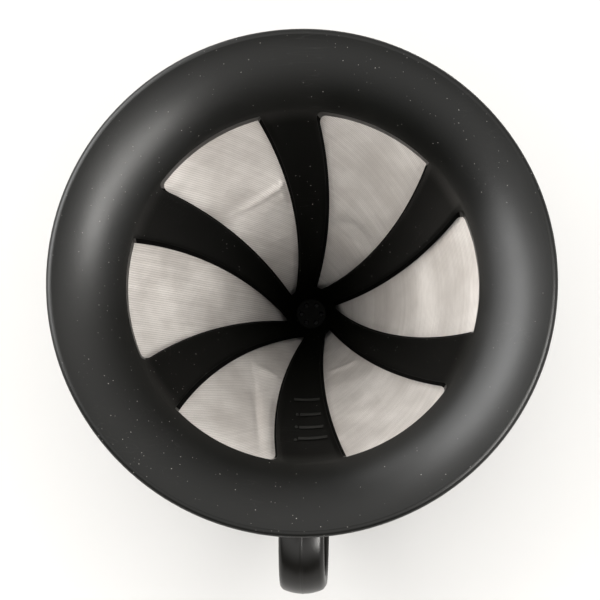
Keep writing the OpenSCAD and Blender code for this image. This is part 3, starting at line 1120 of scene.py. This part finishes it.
def makeHandle():
    bm = bmesh.new()
    section = strapSection()
    limit = handleLow[1]
    rings = []
    path = strapPath()
    for n, (y, z, a) in enumerate(path):
        t = min(1.0, n / (strap["straightSteps"] + strap["bendSteps"]))
        share = strap["topWidth"] + (1 - strap["topWidth"]) * t
        ring = []
        for x, out in section:
            yy = max(y + out * math.cos(a), limit)
            zz = min(z + out * math.sin(a), handleHigh[2])
            ring.append(bm.verts.new((x * share * mm, yy * mm, zz * mm)))
        rings.append(ring)
    count = len(section)
    for j in range(len(rings) - 1):
        for i in range(count):
            k = (i + 1) % count
            bm.faces.new((rings[j][i], rings[j][k], rings[j + 1][k], rings[j + 1][i]))
    bm.faces.new(rings[0])
    bm.faces.new(rings[-1][::-1])
    return finishMesh("strapHandle", bm, standPlastic, strap["crispAngle"])


strapHandle = makeHandle()
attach(strapHandle, "stand")
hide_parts("handle")
print("handle made")


# Level marks on the wide rib

marks = {
    "bars": 4, "firstRadius": 24.9, "spacing": 4.2, "closing": -0.28,      # the bars' distances from the axis
    "left": -1.0, "firstLeft": -2.8, "right": 3.4, "widening": 0.4, "flaring": 0.13,    # and their ends
    "width": 0.66, "height": 0.24, "round": 0.2, "roundAngle": 35,
    "dots": 3, "dotX": -1.7, "dotFirst": 28.9, "dotSpacing": 3.25, "dotRadius": 0.35,
}


def quadratic(tree, index, start, slope, curve):
    # start, plus slope for every step, plus curve for every step squared
    return calc(tree, "MULTIPLY_ADD", index, calc(tree, "MULTIPLY_ADD", index, curve, slope), start)


def layOnCone(tree, geometry, height):
    # bends a shape onto the cone's inner face: x runs across, y is the distance from the axis,
    # and z from -0.5 to 0.5 becomes the height
    spot = tree.nodes.new("ShaderNodeSeparateXYZ")
    wire(tree, tree.nodes.new("GeometryNodeInputPosition").outputs["Position"], spot.inputs["Vector"])
    radius = spot.outputs["Y"]
    angle = calc(tree, "DIVIDE", spot.outputs["X"], radius)
    size = calc(tree, "MULTIPLY", radius, mm)
    surface = calc(tree, "MULTIPLY_ADD", radius, 1 / cone["taper"], coneZ(0.0))
    raised = calc(tree, "MULTIPLY", spot.outputs["Z"], height)
    z = calc(tree, "MULTIPLY_ADD", raised, 1 / cone["taper"], surface)
    bent = addNode(tree, "ShaderNodeCombineXYZ", X=calc(tree, "MULTIPLY", size, calc(tree, "SINE", angle)),
                   Y=calc(tree, "MULTIPLY", calc(tree, "MULTIPLY", size, -1.0), calc(tree, "COSINE", angle)),
                   Z=calc(tree, "MULTIPLY", z, mm))
    return addNode(tree, "GeometryNodeSetPosition", Geometry=geometry,
                   Position=bent.outputs["Vector"]).outputs["Geometry"]


def makeMarkTree():
    # bars up the rib, closing up and growing longer, laid onto the cone
    tree, source, sink = newTree("levelBars", (
        ("Count", "NodeSocketInt", 4), ("First Radius", "NodeSocketFloat", 24.9),
        ("Spacing", "NodeSocketFloat", 4.2), ("Closing", "NodeSocketFloat", -0.28),
        ("Left", "NodeSocketFloat", -1.0), ("First Left", "NodeSocketFloat", -2.8),
        ("Right", "NodeSocketFloat", 3.4),
        ("Widening", "NodeSocketFloat", 0.4), ("Flaring", "NodeSocketFloat", 0.13),
        ("Width", "NodeSocketFloat", 0.7), ("Height", "NodeSocketFloat", 0.8),
        ("Material", "NodeSocketMaterial", None)))
    points = addNode(tree, "GeometryNodeMeshLine", Count=source["Count"], Offset=(0.0, 0.0, 0.0))
    index = tree.nodes.new("GeometryNodeInputIndex").outputs["Index"]
    block = addNode(tree, "GeometryNodeMeshCube", Size=(1.0, 1.0, 1.0), Vertices_X=9, Vertices_Y=2,
                    Vertices_Z=2)
    isFirst = calc(tree, "LESS_THAN", index, 0.5)
    left = calc(tree, "MULTIPLY_ADD", isFirst, calc(tree, "SUBTRACT", source["First Left"], source["Left"]),
                source["Left"])
    right = quadratic(tree, index, source["Right"], source["Widening"], source["Flaring"])
    radius = quadratic(tree, index, source["First Radius"], source["Spacing"], source["Closing"])
    length = calc(tree, "SUBTRACT", right, left)
    middle = calc(tree, "MULTIPLY", calc(tree, "ADD", left, right), 0.5)
    size = addNode(tree, "ShaderNodeCombineXYZ", X=length, Y=source["Width"], Z=1.0)
    spot = addNode(tree, "ShaderNodeCombineXYZ", X=middle, Y=radius)
    placed = addNode(tree, "GeometryNodeSetPosition", Geometry=points.outputs["Mesh"],
                     Position=spot.outputs["Vector"])
    bars = addNode(tree, "GeometryNodeInstanceOnPoints", Points=placed.outputs["Geometry"],
                   Instance=block.outputs["Mesh"], Scale=size.outputs["Vector"])
    real = addNode(tree, "GeometryNodeRealizeInstances", Geometry=bars.outputs["Instances"])
    laid = layOnCone(tree, real.outputs["Geometry"], source["Height"])
    closeTree(tree, laid, source["Material"], sink)
    return tree


def makeDotTree():
    tree, source, sink = newTree("levelDots", (
        ("Count", "NodeSocketInt", 3), ("First Radius", "NodeSocketFloat", 28.9),
        ("Spacing", "NodeSocketFloat", 3.2), ("Across", "NodeSocketFloat", -1.7),
        ("Dot Radius", "NodeSocketFloat", 0.35),
        ("Height", "NodeSocketFloat", 0.8), ("Material", "NodeSocketMaterial", None)))
    start = addNode(tree, "ShaderNodeCombineXYZ", X=source["Across"], Y=source["First Radius"])
    step = addNode(tree, "ShaderNodeCombineXYZ", Y=source["Spacing"])
    points = addNode(tree, "GeometryNodeMeshLine", Count=source["Count"],
                     Start_Location=start.outputs["Vector"], Offset=step.outputs["Vector"])
    dot = addNode(tree, "GeometryNodeMeshCylinder", Vertices=16, Radius=source["Dot Radius"], Depth=1.0)
    dots = addNode(tree, "GeometryNodeInstanceOnPoints", Points=points.outputs["Mesh"],
                   Instance=dot.outputs["Mesh"])
    real = addNode(tree, "GeometryNodeRealizeInstances", Geometry=dots.outputs["Instances"])
    laid = layOnCone(tree, real.outputs["Geometry"], source["Height"])
    closeTree(tree, laid, source["Material"], sink)
    return tree


def makeMarks():
    bars = grow("bars", makeMarkTree(), {
        "Count": marks["bars"], "First Radius": marks["firstRadius"], "Spacing": marks["spacing"],
        "Closing": marks["closing"], "Left": marks["left"], "First Left": marks["firstLeft"],
        "Right": marks["right"], "Widening": marks["widening"], "Flaring": marks["flaring"],
        "Width": marks["width"], "Height": 2 * marks["height"], "Material": litMarkPlastic})
    dots = grow("dots", makeDotTree(), {
        "Count": marks["dots"], "First Radius": marks["dotFirst"], "Spacing": marks["dotSpacing"],
        "Across": marks["dotX"], "Dot Radius": marks["dotRadius"], "Height": 2 * marks["height"],
        "Material": litMarkPlastic})
    both = joined("levelMarks", (bars, dots), litMarkPlastic)
    return painted(rounded(both, marks["round"], marks["roundAngle"]), litMarkPlastic)


levelMarks = makeMarks()
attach(levelMarks, "filter")
print("level marks made")


# Floor, light and camera

room = {
    "floor": (0.67, 0.666, 0.657, 1), "floorSize": 6.0, "floorRough": 0.9, "floorShine": 0.1,
    "air": (1.0, 0.99, 0.975, 1),
    # brightness, and the heights of the view direction (0 level, 1 straight up) that it changes between
    "overhead": 0.05, "opening": (0.83, 0.96),
    "upper": 2.9, "level": 0.3, "climb": (0.1, 0.8),
    "northern": 0.65, "northFade": (0.35, 0.75),    # how much brighter the +Y horizon is
    "aim": 0.8,            # the light boxes face the axis at this share of the rim's height
}
# degrees, metres and watts; a box either shows in gloss (mirrored) or lights what is matt
lights = {
    "keyBox": {"azimuth": 158, "elevation": 31, "distance": 1.3, "size": (1.5, 0.42), "power": 30},
    "fillBox": {"azimuth": -22, "elevation": 36, "distance": 1.3, "size": (1.0, 0.34), "power": 29,
                "colour": (1, 0.985, 0.96)},
    "lowKeyBox": {"azimuth": 150, "elevation": 10, "distance": 1.3, "size": (2.2, 0.5), "power": 21},
    "lowFillBox": {"azimuth": -20, "elevation": 10, "distance": 1.3, "size": (1.6, 0.5), "power": 3},
    "topBox": {"azimuth": 120, "elevation": 80, "distance": 1.6, "size": (1.4, 1.4), "power": 4,
               "mirrored": False},
}


def makeFloor():
    material, _, shader, _ = newMaterial("paleFloor")
    shader.inputs["Base Color"].default_value = room["floor"]
    shader.inputs["Roughness"].default_value = room["floorRough"]
    shader.inputs["Specular IOR Level"].default_value = room["floorShine"]
    bm = bmesh.new()
    half = room["floorSize"] / 2
    bm.faces.new([bm.verts.new((x, y, saucerLow[2] * mm)) for x, y in
                  ((-half, -half), (half, -half), (half, half), (-half, half))])
    floor = finishMesh("floor", bm, material)


def makeLight(name, azimuth, elevation, distance, size, power, colour=(1, 1, 1), mirrored=True):
    # a soft box that faces the middle of the bowl
    target = Vector((0, 0, frameHigh[2] * mm * room["aim"]))
    a, e = math.radians(azimuth), math.radians(elevation)
    way = Vector((math.cos(a) * math.cos(e), math.sin(a) * math.cos(e), math.sin(e)))
    data = bpy.data.lights.new(name, "AREA")
    data.shape = "RECTANGLE"
    data.size, data.size_y = size
    data.energy = power
    data.color = colour
    light = bpy.data.objects.new(name, data)
    light.location = target + way * distance
    light.rotation_euler = way.to_track_quat("Z", "Y").to_euler()
    light.visible_camera = False
    light.visible_glossy = mirrored
    light.visible_diffuse = not mirrored
    scene.collection.objects.link(light)


def makeAir():
    # the room's soft light: dark overhead, brightest half way up, falling off to the horizon
    world = bpy.data.worlds.new("softRoom")
    world.use_nodes = True
    tree = world.node_tree
    way = tree.nodes.new("ShaderNodeSeparateXYZ")
    wire(tree, tree.nodes.new("ShaderNodeTexCoord").outputs["Generated"], way.inputs["Vector"])
    opening = ramp(tree, way.outputs["Z"], *room["opening"], 1.0, room["overhead"] / room["upper"])
    climb = ramp(tree, way.outputs["Z"], *room["climb"], room["level"], room["upper"])
    low = ramp(tree, way.outputs["Z"], *room["northFade"], room["northern"], 0.0)
    both = calc(tree, "MULTIPLY_ADD", way.outputs["Y"], low, climb)
    strength = calc(tree, "MULTIPLY", opening, calc(tree, "MAXIMUM", both, 0.0))
    back = tree.nodes["Background"]
    back.inputs["Color"].default_value = room["air"]
    wire(tree, strength, back.inputs["Strength"])
    scene.world = world


def makeRoom():
    makeFloor()
    makeAir()
    for name, values in lights.items():
        makeLight(name, **values)


# its place in millimetres, its turns in radians and how far it sees in metres
camera = {
    "x": 17.226, "y": -54.715, "aboveRim": 450.0, "tiltX": 0.1107, "tiltY": 0.0377, "roll": 0.0046,
    "lens": 120.67, "sensor": 36, "farthest": 20,
}


def makeCamera():
    data = bpy.data.cameras.new("overhead")
    data.lens = camera["lens"]
    data.sensor_width = camera["sensor"]
    data.clip_end = camera["farthest"]
    view = bpy.data.objects.new("overhead", data)
    view.location = (camera["x"] * mm, camera["y"] * mm, (frameHigh[2] + camera["aboveRim"]) * mm)
    view.rotation_mode = "YXZ"
    view.rotation_euler = Euler((camera["tiltX"], camera["tiltY"], camera["roll"]), "YXZ")
    scene.collection.objects.link(view)
    scene.camera = view


makeRoom()
makeCamera()
print("room made")
